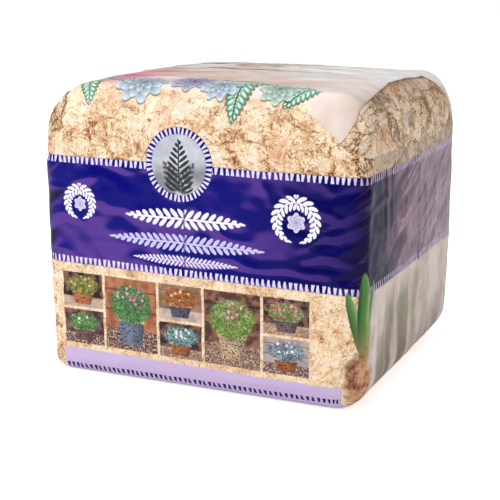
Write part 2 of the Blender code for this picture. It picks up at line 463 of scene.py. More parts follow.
def film_relief(cube):
    """How far the film stands out from the smooth block, in metres."""
    place = soft_block(cube)
    x, y, z = cube.T
    total = MM * waves(place, LUMPS)
    bend = waves(place, RIPPLE_BENDS)
    rise_and_fall = ease(0.62 + 0.55 * rolling(place, 0.040, 14, 9))
    for turn, side_folds, sides in ((FRONT_TURN, SIDE_FOLDS, (1, -1)), (BACK_TURN, BACK_FOLDS, (1,))):
        around, up = wall_place(cube * turn)
        flat_part = ease((1 - np.abs(x)) / EDGE_FADE) * (turn[1] * y < 0) * (np.abs(y) >= np.abs(x))
        phase = np.pi * ((RIPPLE_SLOPE * around + up) / RIPPLE_PITCH + bend)
        crest = 1 - np.sqrt(np.sin(phase) ** 2 + 0.012)
        total += MM * RIPPLE_HEIGHT * rise_and_fall * flat_part * within(up, RIPPLE_SPAN) * (crest - 0.35)
        for item in CORNER_FOLDS:
            total += fold(around, up, *item)
        for item in side_folds:
            for side in sides:
                total += fold(side * around, up, *item)
    around, up = wall_place(cube)
    flat_part = ease((1 - np.abs(y)) / EDGE_FADE) * (np.abs(x) > np.abs(y))
    pleat = np.sin(2 * np.pi * (around / PLEAT_PITCH + 0.8 * rolling(place, 0.05, 12, 7)))
    total += MM * PLEAT_HEIGHT * pleat * flat_part * within(up, PLEAT_SPAN)
    total += fold(np.abs(around), up, *GUSSET_FOLD)
    lid = z > 1 - 1e-6
    across = np.where(lid, place[:, 0], FAR)
    back = WALL_TOP + np.interp(y, top_line, top_run)
    for item in TOP_FOLDS:
        total += fold(across, back, *item)
    return total * ease((place[:, 2] - FOOT_FLAT) / FOOT_FADE)


def on_film(cube, lift=0.0):
    """Places on the film for points of the cube: the block's own, moved outwards by the relief and a lift."""
    return soft_block(cube) + (film_relief(cube) + lift)[:, None] * block_normals(cube)


def edge_steps(count):
    """Even steps from -1 to 1, crowded a little towards both ends, where the film is round."""
    even = np.linspace(-1, 1, count + 1)
    return 0.55 * even + 0.45 * np.sin(0.5 * np.pi * even)


def flat_place(cube, axis, sign):
    """Where points of one face of the cube lie on the flat film that is printed: round and up on the walls,
    and straight on over the top and the base from the front."""
    x, y, z = cube.T
    across = across_film(x)
    if axis == 2:
        back = np.interp(y, top_line, top_run)
        return np.stack([across, WALL_TOP + back if sign > 0 else WALL_BASE - back], 1)
    if axis == 1:
        return np.stack([across if sign < 0 else 2 * FRONT_HALF + SIDE_LENGTH - across, up_film(z)], 1)
    return np.stack([sign * (FRONT_HALF + np.interp(y, side_line, side_run)), up_film(z)], 1)


def quads_of(number):
    """The corners of each cell of a grid of point numbers."""
    corners = number[:-1, :-1], number[1:, :-1], number[1:, 1:], number[:-1, 1:]
    return np.stack([corner.ravel() for corner in corners], 1)


def cube_skin(steps):
    """A closed net over the cube, as points, quads that face outwards, and each quad corner's place on the
    flat film. It is six grids whose edges are welded."""
    cubes, flats, quads = [], [], []
    offset = 0
    for axis in range(3):
        first, second = (axis + 1) % 3, (axis + 2) % 3
        for sign in (-1, 1):
            u, v = np.meshgrid(edge_steps(steps[first]), edge_steps(steps[second]), indexing="ij")
            cube = np.zeros((u.size, 3))
            cube[:, axis], cube[:, first], cube[:, second] = sign, u.ravel(), v.ravel()
            number = offset + np.arange(u.size).reshape(u.shape)
            quads.append(quads_of(number)[:, ::sign])
            cubes.append(cube)
            flats.append(flat_place(cube, axis, sign))
            offset += u.size
    faces = np.concatenate(quads)
    cube, index = np.unique(np.round(np.concatenate(cubes), 6), axis=0, return_inverse=True)
    return cube, index.ravel()[faces], np.concatenate(flats)[faces]


def mesh_object(name, place, faces, flat):
    """A smooth mesh object from arrays of points and of quads, with the flat film's metres as its UV map."""
    mesh = bpy.data.meshes.new(name)
    mesh.vertices.add(len(place))
    mesh.vertices.foreach_set("co", place.astype(np.float32).ravel())
    mesh.loops.add(faces.size)
    mesh.loops.foreach_set("vertex_index", faces.astype(np.int32).ravel())
    mesh.polygons.add(len(faces))
    mesh.polygons.foreach_set("loop_start", np.arange(0, faces.size, faces.shape[1], dtype=np.int32))
    mesh.update(calc_edges=True)
    layer = mesh.uv_layers.new(name="film")
    layer.data.foreach_set("uv", flat.astype(np.float32).ravel())
    mesh.shade_smooth()
    thing = bpy.data.objects.new(name, mesh)
    bpy.context.scene.collection.objects.link(thing)
    return thing


# Moss seen close: short curved strands that lie across each other. The print on the film is a picture of it,
# and the block inside the bag is made of it. Each layer of strands is one node group, used at several sizes.
def vector(operation, first, second):
    """One Vector Math node."""
    key = "Scale" if operation == "SCALE" else 1
    return node("ShaderNodeVectorMath", {0: first, key: second}, operation=operation)


def line(value, slope, start):
    """A straight line, slope times value plus start, as one Math node."""
    return calc("MULTIPLY_ADD", value, slope, start)


def blend(factor, low, high):
    """Mix two colours."""
    return node("ShaderNodeMix", {0: factor, 6: low, 7: high}, 2, data_type="RGBA")


def blend_value(factor, low, high):
    """Mix two numbers."""
    return node("ShaderNodeMix", {0: factor, 2: low, 3: high}, data_type="FLOAT")


def ramp(value, low, high):
    """0 at the low value and 1 at the high one, held between them, with soft ends."""
    return node("ShaderNodeMapRange", {0: value, 1: low, 2: high}, interpolation_type="SMOOTHSTEP")


def step(value, edge, softness):
    """0 below the edge and 1 above it, with a soft border."""
    return ramp(value, edge - softness, edge + softness)


def below(value, edge, softness):
    """1 below the edge and 0 above it."""
    return 1.0 - step(value, edge, softness)


def between(value, low, high, softness):
    """1 where a value lies between two others."""
    return step(value, low, softness) * below(value, high, softness)


def parts_of(flat):
    """X and Y of a point: on the flat film, the ways round and up."""
    return node("ShaderNodeSeparateXYZ", {0: flat}, ("X", "Y"))


def turned(flat, angle):
    """A point of the flat film, turned about the origin."""
    return node("ShaderNodeVectorRotate", {"Vector": flat, "Angle": angle}, rotation_type="Z_AXIS")


def noise_of(place, scale, detail=4.0, roughness=0.5, distortion=0.0, out=0):
    """Noise between 0 and 1 in space, or its colour where output 1 is asked for."""
    look = {"Scale": scale, "Detail": detail, "Roughness": roughness, "Distortion": distortion}
    return node("ShaderNodeTexNoise", {"Vector": place, **look}, out)


def cells_of(place, scale, *outputs):
    """Random cells on the flat film, and three random draws for each cell."""
    *found, colour = node("ShaderNodeTexVoronoi", {"Vector": place, "Scale": scale}, (*outputs, "Color"),
                          voronoi_dimensions="2D")
    return *found, *node("ShaderNodeSeparateColor", {0: colour}, (0, 1, 2))


def ink(red, green, blue):
    """A colour, from 0 to 255 as it looks, as the linear colour that the shaders use."""
    values = np.array([red, green, blue]) / 255.0
    linear = np.where(values <= 0.04045, values / 12.92, ((values + 0.055) / 1.055) ** 2.4)
    return (*[float(value) for value in linear], 1.0)


def tones(value, stops, interpolation="LINEAR"):
    """A colour from a row of stops, each a place from 0 to 1 and a colour from 0 to 255 as it looks."""
    made = value.tree.nodes.new("ShaderNodeValToRGB")
    made.color_ramp.interpolation = interpolation
    points = made.color_ramp.elements
    while len(points) < len(stops):
        points.new(1.0)
    for point, (place, colour) in zip(points, stops):
        point.position = place
        point.color = ink(*colour)
    put(made.inputs, {0: value})
    return Signal(made.outputs[0])


def shared(*outputs):
    """Make a function of signals into a node group with named sockets, which is placed each time it is
    called. The function's parameters are the group's inputs, and their defaults are numbers or the kinds of
    their sockets."""
    wanted = outputs if len(outputs) > 1 else outputs[0]

    def make(work):
        group = bpy.data.node_groups.new(work.__name__, "ShaderNodeTree")
        labels = []
        for label, parameter in inspect.signature(work).parameters.items():
            labels.append(label.title())
            kind = parameter.default if isinstance(parameter.default, str) else "Float"
            socket = group.interface.new_socket(labels[-1], in_out="INPUT", socket_type="NodeSocket" + kind)
            if kind == "Float":
                socket.default_value = parameter.default
        for label in outputs:
            kind = "Color" if label == "Color" else "Float"
            group.interface.new_socket(label, in_out="OUTPUT", socket_type="NodeSocket" + kind)
        given = group.nodes.new("NodeGroupInput").outputs
        made = work(*[Signal(given[label]) for label in labels])
        made = made if isinstance(made, tuple) else (made,)
        put(group.nodes.new("NodeGroupOutput").inputs, dict(zip(outputs, made)))

        def use(*values, **named):
            """Place the group, with its inputs in their order or by name, and give its outputs."""
            inputs = dict(zip(labels, values))
            inputs.update({label.title(): value for label, value in named.items()})
            return node("ShaderNodeGroup", inputs, wanted, node_tree=group)

        return use

    return make


@shared("Mask", "Shadow", "Light", "Draw")
def moss_strands(flat="Vector", shift=0.0, cells=0.33, length=2.4, width=0.42):
    """One layer of strands. The plane is cut into random cells, and each holds one strand, turned by its own
    angle: a parabola with pointed ends, whose half width falls with the square of the way along it. Light is
    -1 on one long edge and 1 on the other, and Shadow is the same strand, wider and moved down."""
    moved = vector("ADD", flat, node("ShaderNodeCombineXYZ", {0: shift, 1: shift}))
    middle, turn, bend, heft = cells_of(moved, cells, "Position")
    along, beside = parts_of(turned(vector("SUBTRACT", moved, middle), turn * (2 * math.pi)))
    share = along / length
    square = share * share
    off = beside - (bend - 0.5) * length * 1.3 * square
    thick = width * line(heft, 0.7, 0.6)
    half = calc("MAXIMUM", thick * calc("MAXIMUM", 1.0 - square, 0.0), 0.01)
    light = off / half
    under = (off + thick * 0.55) / (half * 1.5)
    return below(abs(light), 0.92, 0.25), below(abs(under), 0.8, 0.35), light, calc("FRACT", heft * 7.31)


# Shift, cells per millimetre, length and width of each layer of strands, in millimetres
STRAND_LAYERS = [
    (11.3, 0.46, 1.8, 0.34), (47.1, 0.38, 2.2, 0.42), (83.9, 0.30, 2.9, 0.50), (29.7, 0.25, 3.3, 0.60),
    (65.3, 0.34, 2.6, 0.40), (101.5, 0.24, 3.6, 0.52),
]
MOSS_TONES = [
    (0.00, (98, 60, 36)), (0.16, (164, 110, 70)), (0.34, (208, 156, 114)), (0.52, (232, 200, 158)),
    (0.72, (249, 226, 194)), (0.92, (255, 243, 226)),
]
PER_METRE = 1000.0


@shared("Color", "Height")
def dried_moss_look(flat="Vector", place="Vector", strand=1.0, contrast=1.0):
    """Lumpy moss lit from above. The tone is the difference between a rough noise and the same noise a short
    way down, with layers of strands that each draw their own tone over a shadow, slow clumps, and dark
    crevices where two noises cross their middle. A row of colours from brown to cream paints it, with orange
    and pink drifts."""
    size = PER_METRE / strand
    flat = vector("SCALE", flat, size)
    place = vector("SCALE", place, size)
    sway = vector("SUBTRACT", noise_of(flat, 0.30, 1.0, out=1), (0.5, 0.5, 0.5))
    flat = vector("ADD", flat, vector("SCALE", sway, 3.4))
    upper = noise_of(place, 0.26, 5.0, 0.68, 0.8)
    lower = noise_of(vector("ADD", place, (0.30, 0.25, -0.55)), 0.26, 5.0, 0.68, 0.8)
    tone = line(upper - lower, 2.1, 0.56)
    for layer in STRAND_LAYERS:
        mask, shadow, light, draw = moss_strands(flat, *layer)
        own = line(light, 0.13, line(draw, 0.42, 0.44))
        tone = blend_value(mask * 0.62, line(shadow, -0.17, tone), own)
    clump = noise_of(place, 0.110, 4.0, 0.62, 0.5)
    tone = line(clump - 0.5, 2.1, tone)
    for scale, wide, depth in ((0.13, 0.018, 0.46), (0.31, 0.014, 0.18)):
        crevice = noise_of(vector("ADD", place, (31.0, 7.0, 19.0)), scale, 3.0, 0.6, 0.7)
        tone = line(below(abs(crevice - 0.5), wide, 0.9 * wide), -depth, tone)
    tone = line(tone - 0.56, contrast, 0.70)
    colour = tones(tone, MOSS_TONES)
    drift = noise_of(place, 0.060, 4.0, 0.65)
    colour = blend(ramp(drift, 0.52, 0.67) * 0.52, colour, ink(226, 150, 104))
    colour = blend(ramp(clump, 0.60, 0.68) * 0.30, colour, ink(232, 152, 120))
    specks = ramp(noise_of(place, 0.80, 2.0, 0.6), 0.63, 0.72) * (contrast * 0.60)
    return blend(specks, colour, ink(146, 98, 58)), tone


# The print on the film: moss all over, a violet-blue band with stitch-like ticks along its borders, and plain
# plant ornaments. On the band the violet is a painted reflection of the floor, and the plum of the sides is
# painted glare. Inks are printed inside the clear film. Each ornament is a node group, placed by millimetres
# on the film.
@shared("Mask")
def stitch_ticks(around=0.0, inward=0.0, pitch=2.75 * MM, reach=3.6 * MM, half=0.25):
    """A row of stitch-like wedges along a border. Around is cut into steps of one pitch. Each wedge leans,
    and widens or narrows away from the border, by a random draw, and ends a set way in."""
    cell = around / pitch
    draw = node("ShaderNodeTexWhiteNoise", {"W": calc("FLOOR", cell)}, noise_dimensions="1D")
    depth = inward / reach
    middle = line((draw - 0.5) * 0.30, depth, 0.5)
    flare = calc("GREATER_THAN", draw, 0.5) - 0.5
    half = line(flare, (depth - 0.5) * 0.34, half)
    wedge = below(abs(calc("FRACT", cell) - middle), half, 0.04)
    return wedge * between(depth, 0.05, 0.97, 0.06)


@shared("Along", "Across")
def ornament_axes(flat="Vector", centre="Vector", angle=0.0):
    """Turn the flat film about an ornament's origin: Along runs up its stem, and Across lies beside it."""
    return parts_of(turned(vector("SUBTRACT", flat, centre), angle * -1.0))


@shared("Mask", "Shade")
def leafy_sprig(along=0.0, across=0.0, length=20 * MM, leaf=5 * MM, pitch=3 * MM, plump=0.40):
    """A leafy sprig: a stem with a pair of leaves at each step. Each leaf is an ellipse that leans forward,
    and the leaves grow shorter towards the tip. Shade is light along the middle of a leaf."""
    share = along / length
    taper = calc("SUBTRACT", 1.0, calc("POWER", abs(share), 2.4), clamp=True)
    leaf = calc("MAXIMUM", leaf * taper, 0.05 * MM)
    side = calc("SIGN", across)
    across = abs(across)
    slid = line(side, pitch * 0.25, line(across, -0.75, along))
    long_way = line(across / leaf, 2.0, -1.0)
    wide_way = (calc("FRACT", slid / pitch) - 0.5) / plump
    reach = line(long_way, long_way, wide_way * wide_way)
    stem = below(across, pitch * 0.12, 0.10 * MM)
    mask = calc("MAXIMUM", below(reach, 0.92, 0.14), stem) * between(share, 0.0, 0.97, 0.02)
    return mask, calc("SUBTRACT", 1.0, reach * 0.9, clamp=True)


def distance(along, across):
    """How far a point lies from the origin."""
    return calc("SQRT", line(along, along, across * across))


@shared("Mask", "Shade")
def leaf_rosette(along=0.0, across=0.0, radius=6 * MM, leaves=9.0):
    """A round plant seen from above: rings of pointed leaves, each ring smaller, turned and laid on the last.
    In a ring a leaf's edge lies where the radius falls with the squared distance from the leaf's own middle
    angle. Shade rises from the base of a leaf to its tip."""
    reach = distance(along, across) / radius
    turn = calc("ARCTAN2", across, along) / (2 * math.pi)
    mask, shade = 0.0, 0.0
    for ring, size in enumerate((1.0, 0.80, 0.58, 0.36, 0.18)):
        off = abs(calc("FRACT", line(turn, leaves, 10.0 + 0.63 * ring)) - 0.5) * 2.0
        tip = line(off * off, -0.42 * size, size)
        leaf = below(reach, tip, 0.022)
        share = reach / tip
        shade = blend_value(leaf, shade, share * share * line(off, -0.45, 1.0))
        mask = calc("MAXIMUM", mask, leaf)
    return mask, shade


# Where the print's fields lie on the flat film, in metres
BAND_TOP = 0.1150
BAND_BASE = 0.0598
STRIP_TOP = 0.0140
STRIP_BASE = 0.0062
STRIP_DEPTH = 0.0120
STRIP_END = 0.0775
STRIP_TICK = 0.0040
BADGE_CENTRE = (-0.0076, 0.1148)
BADGE_RADIUS = 0.0181
BADGE_RING = 0.0034
BADGE_TICKS = 46
PALE_TICK = ink(228, 218, 250)


def ellipse(across, up, centre, half):
    """Squared reach of an ellipse: below 1 inside it."""
    x = (across - centre[0]) / half[0]
    y = (up - centre[1]) / half[1]
    return line(x, x, y * y)


def palette(value, *colours):
    """One of a row of colours, picked by a value from 0 to 1."""
    stops = [(number / len(colours), colour) for number, colour in enumerate(colours)]
    return tones(value, stops, "CONSTANT")


# The small pictures of pots and baskets, in five columns: narrow columns hold two, wide ones one
PICTURE_LEFT = -0.0765
PICTURE_BASE = 0.0170
PICTURE_TOP = 0.0550
PICTURE_GAP = 0.0015
PICTURE_EDGE = 0.15 * MM
NARROW = 0.0236
WIDE = 0.0300


def picture_places():
    """Left, right, base and top of each picture."""
    places = []
    left = PICTURE_LEFT
    middle = (PICTURE_BASE + PICTURE_TOP) / 2
    for number in range(5):
        if number % 2:
            places.append((left, left + WIDE, PICTURE_BASE, PICTURE_TOP))
            left += WIDE + PICTURE_GAP
        else:
            places.append((left, left + NARROW, PICTURE_BASE, middle - PICTURE_GAP / 2))
            places.append((left, left + NARROW, middle + PICTURE_GAP / 2, PICTURE_TOP))
            left += NARROW + PICTURE_GAP
    return places


@shared("Color", "Mask")
def plant_pictures(flat="Vector"):
    """Small pictures of potted plants. Shares of each picture's width and height place a planked wall, a
    table, a tapered pot and a mound of leaves, and the picture's number picks their colours."""
    across, up = parts_of(flat)
    x, y, number, mask = 0.0, 0.0, 0.0, 0.0
    places = picture_places()
    for count, (left, right, base, top) in enumerate(places):
        inside = between(across, left, right, PICTURE_EDGE) * between(up, base, top, PICTURE_EDGE)
        picked = calc("GREATER_THAN", inside, 0.01)
        x = line(picked, (across - left) / (right - left), x)
        y = line(picked, (up - base) / (top - base), y)
        number = line(picked, (count + 0.5) / len(places), number)
        mask = calc("MAXIMUM", mask, inside)
    flat = vector("SCALE", flat, PER_METRE)
    grain = noise_of(flat, 0.9, 4.0, 0.65)
    slow = noise_of(flat, 0.22, 3.0)
    wall = palette(number, (84, 56, 70), (52, 36, 40), (176, 108, 76), (64, 46, 58), (150, 118, 98),
                   (96, 64, 58), (188, 176, 176), (58, 42, 52))
    wall = blend(ramp(slow, 0.40, 0.62) * 0.35, wall, ink(206, 150, 116))
    planks = abs(calc("FRACT", y * 3.6) - 0.5)
    wall = blend(step(planks, 0.455, 0.02) * 0.6, wall, ink(40, 28, 34))
    table = palette(number, (72, 48, 62), (196, 170, 150), (84, 54, 56), (150, 112, 92), (206, 190, 184),
                    (120, 88, 76), (96, 76, 84), (170, 130, 104))
    table = blend(ramp(grain, 0.45, 0.62), table, ink(216, 186, 164))
    colour = blend(below(y, 0.30, 0.015), wall, table)
    pot = below(abs(x - 0.5), line(y, 0.22, 0.17), 0.014) * between(y, 0.09, 0.46, 0.014)
    clay = palette(number, (132, 96, 90), (206, 124, 78), (122, 134, 158), (190, 116, 76), (96, 96, 116),
                   (214, 186, 150), (178, 104, 70), (120, 104, 108))
    clay = blend(ramp(grain, 0.50, 0.60), clay, ink(56, 44, 52))
    clay = blend(ramp(abs(x - 0.42), 0.08, 0.36) * 0.6, clay, ink(48, 34, 44))
    clay = blend(between(y, 0.395, 0.455, 0.01), clay, ink(226, 190, 158))
    colour = blend(pot, colour, clay)
    ragged = (grain - 0.5) * 1.9
    mound = below(ellipse(x, y, (0.5, 0.64), (0.40, 0.27)) + ragged, 1.0, 0.12)
    dark = palette(number, (54, 84, 52), (64, 74, 40), (46, 86, 54), (52, 84, 84), (118, 62, 34),
                   (70, 96, 48), (60, 80, 92), (82, 84, 44))
    light = palette(number, (150, 196, 122), (206, 200, 110), (132, 186, 112), (168, 206, 204),
                    (222, 148, 84), (176, 204, 112), (196, 210, 222), (208, 206, 150))
    leaves = blend(ramp(grain, 0.36, 0.60), dark, blend(0.35, dark, light))
    for layer in ((3.1, 0.50, 1.8, 0.34), (17.9, 0.62, 1.5, 0.28), (41.3, 0.75, 1.1, 0.26)):
        leaf, shadow, _, draw = moss_strands(flat, *layer)
        leaves = blend(leaf, blend(shadow * 0.5, leaves, dark), blend(draw, dark, light))
    colour = blend(mound, colour, leaves)
    reach, chance, tint, _ = cells_of(flat, 0.42, "Distance")
    spray = below(ellipse(x, y, (0.48, 0.74), (0.30, 0.17)) + ragged, 1.0, 0.05)
    petals = below(reach, 0.34, 0.06) * step(chance, 0.50, 0.01) * spray
    flower = palette(number, (232, 228, 196), (236, 196, 84), (214, 70, 146), (226, 226, 236), (238, 170, 96),
                     (226, 96, 150), (236, 232, 240), (216, 74, 96))
    colour = blend(petals, colour, blend(tint * 0.5, flower, ink(255, 236, 244)))
    return blend(ramp(slow, 0.58, 0.34) * 0.30, colour, ink(36, 26, 34)), mask


# The print is laid on field by field, in node groups that each take the colour so far and give it back with
# their own field on it. A few of them make up each zone of the film: below the band, the band, above it, and
# the top.
SIDE_END = FRONT_HALF + SIDE_LENGTH


def flank_of(across, edge=FRONT_HALF - 0.0035, softness=0.0045):
    """1 on the two sides of the bag and 0 on its front and back."""
    return step(abs(across), edge, softness) * below(across, SIDE_END, 0.004)


def mottle_of(place):
    """Soft blotches about a centimetre wide, as the sides' inks have."""
    return noise_of(place, 62.0, 4.0, 0.6)


@shared("Color")
def print_band(colour="Color", flat="Vector", place="Vector", tilt=0.0):
    """The band: navy, with violet where the film turns down, as a painted reflection of the bright floor, and
    plum on the sides as painted glare of the film seen edge-on, between two rows of ticks."""
    across, up = parts_of(flat)
    reach = abs(across)
    mottle = mottle_of(place)
    # Painted reflection: a stretched noise and a patch at the low left add to the normal's downward tilt, and
    # the tilt picks violet over navy on the front and the back.
    drift = ramp(noise_of(vector("MULTIPLY", place, (15.0, 15.0, 40.0)), 1.0, 1.0), 0.40, 0.66)
    low_left = ramp(across, 0.045, -0.070) * ramp(up, 0.096, 0.066)
    tilt = line(drift * ramp(across, 0.070, 0.020), -0.050, line(low_left, -0.075, tilt))
    navy = blend(ramp(across, 0.010, 0.070), ink(2, 2, 120), ink(2, 0, 88))
    back = step(across, SIDE_END, 0.004)
    share = calc("MAXIMUM", ramp(across, 0.120, 0.000), back * 0.6)
    tone = blend(ramp(tilt, 0.002, -0.085) * share, navy, ink(88, 56, 148))
    # Painted glare on the sides: a hazy plum mottle, paler towards the back, which turns to dark navy near
    # the corner.
    plum = blend(ramp(mottle, 0.35, 0.65), ink(104, 74, 98), ink(154, 124, 142))
    plum = blend(ramp(reach, FRONT_HALF + 0.060, FRONT_HALF + 0.120) * 0.45, plum, ink(186, 162, 176))
    shade = noise_of(vector("MULTIPLY", turned(flat, -0.50), (16.0, 130.0, 1.0)), 1.0, 1.0)
    pull = ramp(line(shade, 0.045, reach), FRONT_HALF + 0.082, FRONT_HALF + 0.042)
    plum = blend(pull, plum, ink(22, 4, 60))
    plum = blend(ramp(shade, 0.52, 0.40) * 0.35, plum, ink(44, 26, 52))
    # Thin pale lines from a noise and along three creases in the upper band, fainter where the band is dark
    # near the corner.
    scuff = below(abs(shade - 0.5), 0.010, 0.009)
    sway = line(mottle - 0.5, 0.006, across)
    for crease in (0.028, 0.037, 0.094):
        crease = between(sway, FRONT_HALF + crease, FRONT_HALF + crease + 0.0008, 0.0005)
        scuff = calc("MAXIMUM", scuff, crease * ramp(up, 0.070, 0.100))
    plum = blend(scuff * line(pull, -0.36, 0.42), plum, ink(206, 184, 196))
    ragged = line(shade - 0.5, 0.040, reach)
    tone = blend(step(ragged, FRONT_HALF - 0.002, 0.006) * (1.0 - back), tone, plum)
    colour = blend(between(up, BAND_BASE, BAND_TOP, 0.00025), colour, tone)
    flank = flank_of(across)
    half = line(flank, -0.07, 0.25)
    upper_row = stitch_ticks(across, BAND_TOP - up, half=half)
    lower_row = stitch_ticks(across + 0.3, up - BAND_BASE, half=half)
    return blend(calc("MAXIMUM", upper_row, lower_row) * line(flank, -0.35, 1.0), colour, PALE_TICK)


@shared("Color")
def print_badge(colour="Color", flat="Vector", place="Vector", tilt=0.0):
    """The round badge: a pale grey disc with one tall fern before two small ones, in a ring of ticks."""
    along, across = ornament_axes(flat, (*BADGE_CENTRE, 0.0))
    radius = distance(along, across)
    disc = below(radius, BADGE_RADIUS, 0.0002)
    ticks = stitch_ticks(calc("ARCTAN2", across, along) * BADGE_RADIUS, BADGE_RADIUS - radius,
                         2 * math.pi * BADGE_RADIUS / BADGE_TICKS, BADGE_RING)
    colour = blend(ticks * disc, blend(disc, colour, ink(16, 6, 116)), PALE_TICK)
    inner = below(radius, BADGE_RADIUS - BADGE_RING, 0.0002)
    haze = ramp(noise_of(place, 70.0), 0.38, 0.64)
    land = blend(haze, ink(138, 140, 146), ink(196, 197, 202))
    sky = blend(haze, ink(186, 190, 202), ink(214, 217, 226))
    colour = blend(inner, colour, blend(ramp(across, -0.004, 0.004), land, sky))
    foot = (BADGE_CENTRE[0], BADGE_CENTRE[1] - 0.0130, 0.0)
    for angle, length, leaf, tone in (
            (1.05, 0.0170, 0.0050, ink(92, 96, 100)), (2.09, 0.0170, 0.0050, ink(92, 96, 100)),
            (math.pi / 2, 0.0260, 0.0080, ink(52, 56, 60))):
        fern, _ = leafy_sprig(*ornament_axes(flat, foot, angle), length, leaf, 0.0030, 0.34)
        colour = blend(fern * inner, colour, tone)
    return colour


@shared("Color")
def print_blades(colour="Color", flat="Vector", place="Vector", tilt=0.0):
    """Broad green blades that rise from a brown tuft at the right front corner."""
    for centre, angle, half in (
            ((0.0835, 0.0440), 1.85, (0.0180, 0.0028)), ((0.0920, 0.0450), 1.42, (0.0210, 0.0030)),
            ((0.0875, 0.0470), 1.60, (0.0235, 0.0040))):
        along, across = ornament_axes(flat, (*centre, 0.0), angle)
        rib = line(across / half[1], 0.5, 0.5)
        veins = node("ShaderNodeCombineXYZ", {0: along * 60.0, 1: across * 700.0})
        streak = line(noise_of(veins, 1.0, 2.0), 0.6, 1.0 - rib)
        blade = blend(ramp(streak, 0.25, 0.85), ink(36, 80, 60), ink(92, 138, 70))
        blade = blend(ramp(streak, 0.85, 1.25) * 0.8, blade, ink(176, 194, 142))
        blade = blend(ramp(along, 0.2 * half[0], -0.9 * half[0]) * 0.6, blade, ink(170, 150, 96))
        colour = blend(below(ellipse(along, across, (0.0, 0.0), half), 1.0, 0.08), colour, blade)
    wander = noise_of(place, 90.0)
    grit = noise_of(place, 420.0, 3.0)
    tuft = ellipse(*parts_of(flat), (0.0875, 0.0165), (0.0095, 0.0150))
    tuft = below(line(wander, 3.2, tuft) - 1.6, 1.0, 0.55)
    soil = blend(ramp(line(grit, 0.6, wander * 0.7), 0.48, 0.82), ink(112, 66, 44), ink(222, 164, 124))
    return blend(tuft, colour, soil)


@shared("Color")
def print_moss(flat="Vector", place="Vector", strand=1.0):
    """The moss under the other fields: low in contrast and fine below the band, stronger and coarser above
    it, with a few thin brown stems. On the sides it is greyer and darker above the band, as painted shade,
    and below it a soft grey field of painted glare takes its place, with lighter upright smears of glare,
    green smears, and brown smears near the base as painted shade."""
    across, up = parts_of(flat)
    contrast = node("ShaderNodeMapRange", {0: up, 1: 0.060, 2: 0.110, 3: 0.52, 4: 0.76})
    moss, _ = dried_moss_look(flat, place, strand, line(flank_of(across), 0.45, contrast))
    stems = below(abs(noise_of(place, 30.0, 2.0, distortion=0.4) - 0.5), 0.004, 0.004)
    stems = stems * step(noise_of(place, 70.0), 0.53, 0.03)
    colour = blend(stems * 0.7, moss, ink(140, 96, 66))
    colour = blend(ramp(up, 0.130, 0.150) * 0.24, colour, ink(255, 236, 214))
    mottle = mottle_of(place)
    # Painted shade of the sides above the band: the moss mixed with a darker mottle and a dark grey-brown.
    dusk = blend(ramp(mottle, 0.40, 0.60), ink(126, 104, 76), ink(228, 208, 184))
    side_moss = blend(0.22, blend(0.34, colour, dusk), ink(70, 56, 60))
    # Painted glare of the sides below the band: a soft grey field in place of the moss, with lighter upright
    # smears.
    smear = noise_of(vector("MULTIPLY", place, (42.0, 56.0, 9.0)), 1.0, 2.0)
    grey = blend(ramp(mottle, 0.35, 0.65), ink(202, 180, 168), ink(230, 214, 206))
    grey = blend(ramp(smear, 0.56, 0.66) * 0.55, grey, ink(238, 230, 224))
    green = ramp(smear, 0.53, 0.45) * between(across, FRONT_HALF + 0.026, FRONT_HALF + 0.080, 0.014)
    grey = blend(green * below(up, 0.052, 0.008) * 0.70, grey, ink(120, 124, 84))
    # Painted shade near the base: brown smears.
    brown = ramp(smear, 0.60, 0.40) * below(up, 0.022, 0.018)
    grey = blend(brown * 0.80, grey, ink(104, 76, 60))
    above_base = step(up, BAND_BASE, 0.002)
    side_field = blend(above_base, grey, side_moss)
    flank = blend_value(above_base, flank_of(across, FRONT_HALF + 0.0035),
                        flank_of(across, FRONT_HALF + 0.0040, 0.0120))
    return blend(flank, colour, side_field)


@shared("Color")
def print_top_field(colour="Color", flat="Vector", place="Vector", tilt=0.0):
    """The pale field of the top, behind a wandering line near the rim that dips to a point at the right front
    corner, with dark grain along the back and pink streaks at the left."""
    across, up = parts_of(flat)
    rise = line(noise_of(place, 70.0), 0.020, up)
    dip = calc("MAXIMUM", across - 0.0560, 0.0)
    lift = calc("MAXIMUM", -0.020 - across, 0.0) * 0.16
    edge = line(dip, -1.15, WALL_TOP + 0.0145) + lift
    crease = line(up - 0.1300, 0.72, 0.0735)
    field = step(rise, edge, 0.0014) * below(abs(across), FRONT_HALF, 0.0005) * below(across, crease, 0.0004)
    tip = line(across - (FRONT_HALF + 0.120), 0.55, up)
    tip = step(tip, 0.1420, 0.0010) * between(across, FRONT_HALF + 0.1, SIDE_END + 0.002, 0.001)
    field = calc("MAXIMUM", field, tip)
    pale = blend(ramp(noise_of(place, 24.0, 3.0), 0.40, 0.62), ink(238, 226, 220), ink(222, 194, 176))
    far_right = ramp(up, WALL_TOP + 0.030, WALL_TOP + 0.090) * ramp(across, -0.030, 0.040)
    pale = blend(far_right * 0.85, pale, ink(246, 244, 244))
    grain = noise_of(vector("MULTIPLY", flat, (14.0, 160.0, 1.0)), 1.0, 3.0)
    marks = ramp(grain, 0.55, 0.59) * step(up, WALL_TOP + 0.060, 0.020) * below(across, 0.030, 0.04)
    pale = blend(marks * 0.85, pale, ink(56, 38, 46))
    blush = ramp(grain, 0.44, 0.54) * between(up, WALL_TOP + 0.012, WALL_TOP + 0.056, 0.010)
    pale = blend(blush * below(across, -0.036, 0.020) * 0.85, pale, ink(230, 96, 150))
    return blend(field, colour, pale)


